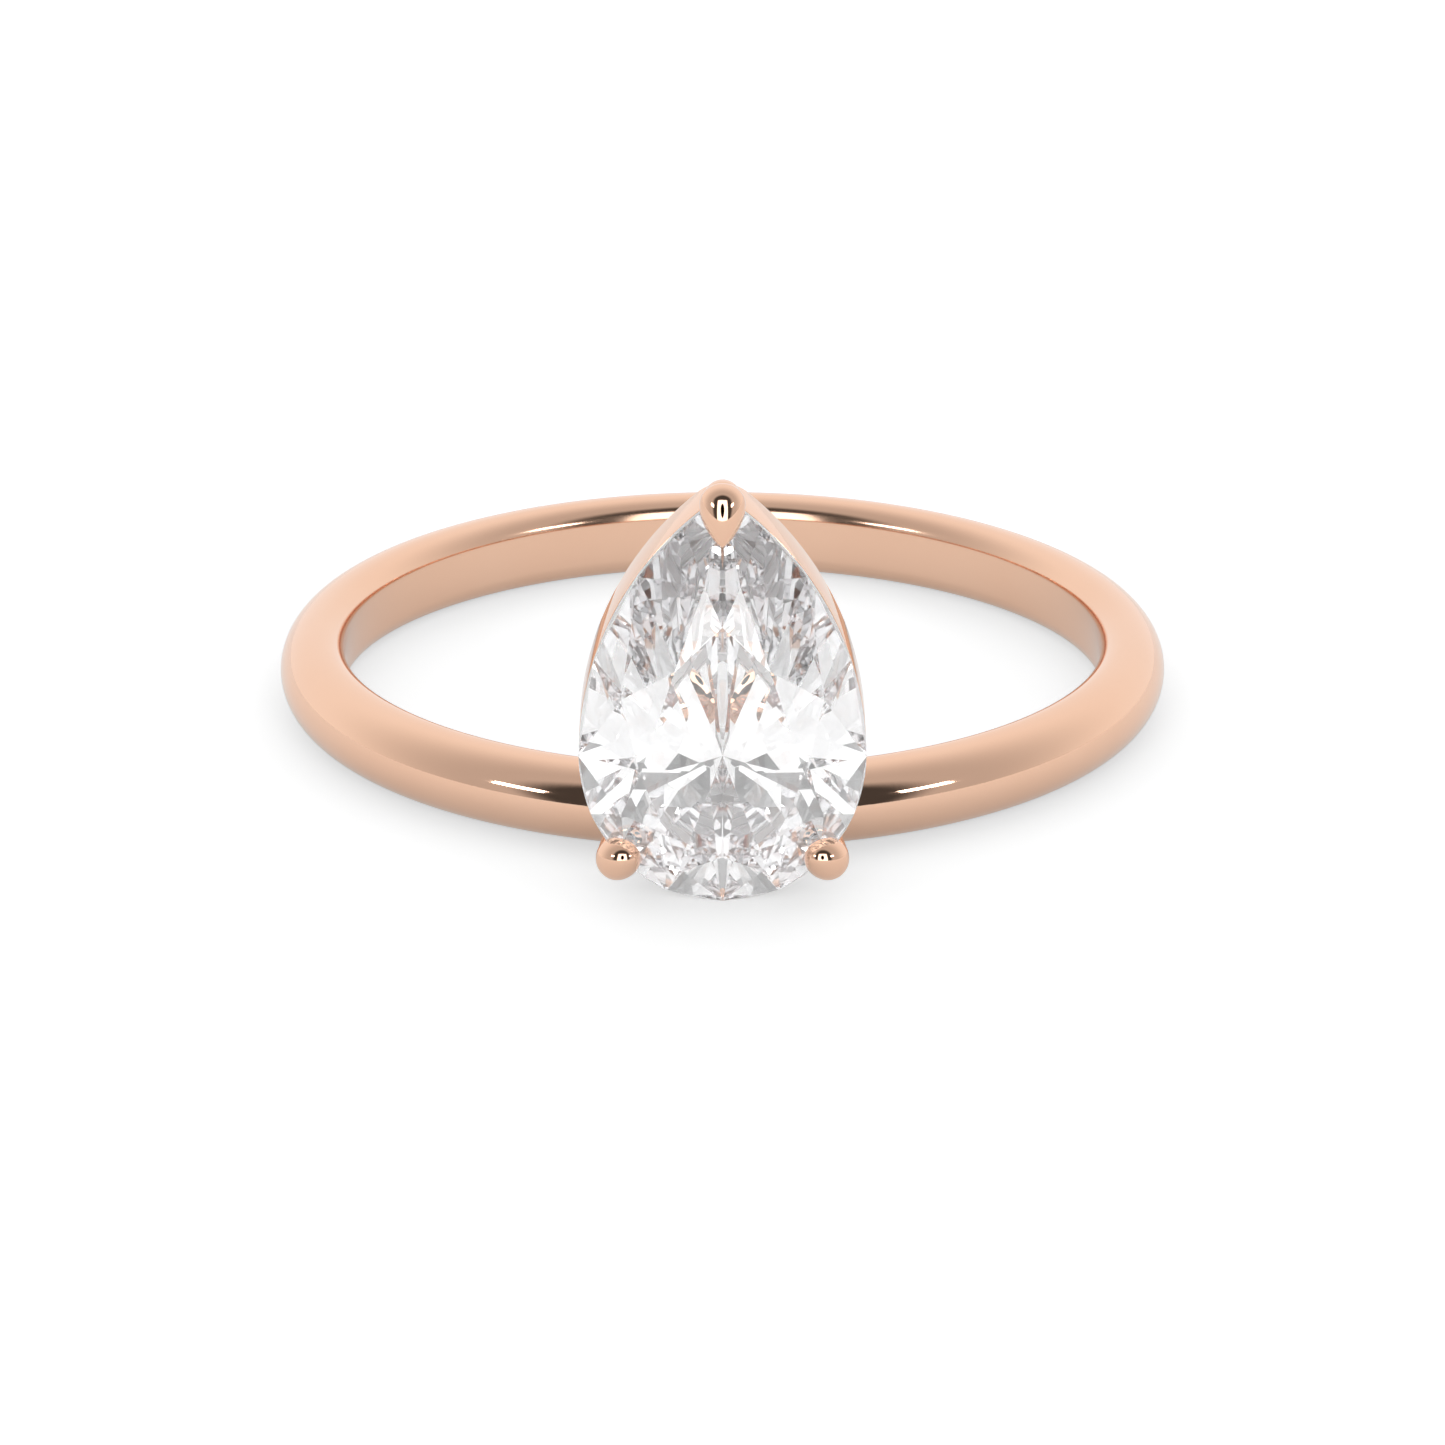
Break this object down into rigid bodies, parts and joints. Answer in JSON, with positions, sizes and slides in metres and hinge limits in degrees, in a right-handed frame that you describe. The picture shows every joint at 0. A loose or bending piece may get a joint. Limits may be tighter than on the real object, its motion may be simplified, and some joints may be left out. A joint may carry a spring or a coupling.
{
  "type": "engagement ring",
  "caption": "Rose gold engagement ring with a pear-cut stone held by three claws on a two-rail basket head.",
  "frame": {"origin": "centre of the finger bore, on its axis and on the shank's mid-plane", "axes": "+Z along the finger bore; the head stands out along -Y, so the row is longest along Y; the stone faces -Y with its point towards +Z"},
  "size_m": [0.0192, 0.0224, 0.0092],
  "materials": {
    "rose_gold": "polished 18 carat rose gold",
    "diamond": "polished, colourless"
  },
  "bodies": {
    "root": {"shank": "rose_gold", "head_peg": "rose_gold", "base_rail": "rose_gold", "gallery_rail": "rose_gold", "left_claw": "rose_gold", "right_claw": "rose_gold", "tip_claw": "rose_gold", "pear_diamond": "diamond"}
  },
  "joints": []
}
